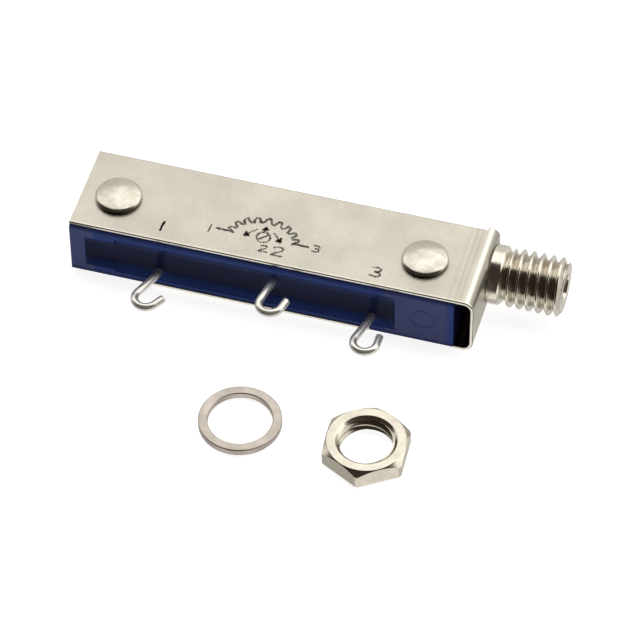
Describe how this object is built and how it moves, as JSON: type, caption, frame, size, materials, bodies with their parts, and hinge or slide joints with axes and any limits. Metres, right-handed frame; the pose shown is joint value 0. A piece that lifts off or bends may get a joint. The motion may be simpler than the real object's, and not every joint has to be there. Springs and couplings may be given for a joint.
{
  "type": "trimmer potentiometer",
  "caption": "Long rectangular multi-turn trimmer potentiometer in a riveted metal cover, with a threaded panel bushing, solder hooks, and its split washer and nut beside it.",
  "frame": {"origin": "middle of the mounting face (the cover's end wall), on the axis of the threaded bushing", "axes": "+X out along the bushing, +Z normal to the marked wide face, -Y towards the solder hooks"},
  "size_m": [0.0393, 0.0242, 0.0064],
  "materials": {
    "nickel_strap": "satin nickel plate",
    "rivet_metal": "bright nickel plate",
    "bushing_metal": "bright nickel plate over brass",
    "blue_moulding": "smooth moulded",
    "potting_resin": "gloss",
    "tinned_wire": "bright tin plate",
    "screw_metal": "bright steel",
    "seal_rubber": "matt",
    "carriage_plastic": "matt",
    "wiper_alloy": "bright spring alloy",
    "white_ceramic": "matt",
    "fired_film": "matt",
    "silver_film": "matt silver",
    "solder": "bright",
    "washer_metal": "satin nickel plate",
    "nut_metal": "bright nickel plate over brass"
  },
  "bodies": {
    "case": {"cover": "nickel_strap", "rivet_left": "rivet_metal", "rivet_right": "rivet_metal", "bushing": "bushing_metal", "housing": "blue_moulding", "housing_lid": "blue_moulding", "potting_seal": "potting_resin", "terminal_1": "tinned_wire", "terminal_2": "tinned_wire", "terminal_3": "tinned_wire", "shaft_seal": "seal_rubber", "ceramic_strip": "white_ceramic", "resistive_track": "fired_film", "end_contact_1": "silver_film", "end_contact_3": "silver_film", "collector_strip": "silver_film", "solder_joint_1": "solder", "solder_joint_2": "solder", "solder_joint_3": "solder", "lock_washer": "washer_metal", "hex_nut": "nut_metal"},
    "screw": {"adjusting_screw": "screw_metal", "retaining_clip": "screw_metal"},
    "wiper_carriage": {"carriage": "carriage_plastic", "wiper_spring": "wiper_alloy"}
  },
  "joints": [
    {"name": "screw_turn", "type": "hinge", "parent": "case", "child": "screw", "pos_m": [0, 0, 0], "axis": [1, 0, 0], "range_deg": [-3960, 3960]},
    {"name": "carriage_travel", "type": "slide", "parent": "case", "child": "wiper_carriage", "axis": [1, 0, 0], "range_m": [-0.00881, 0.00881]}
  ],
  "couplings": [
    {"joint": "carriage_travel", "follows": "screw_turn", "m_per_rad": -0.00012732}
  ]
}
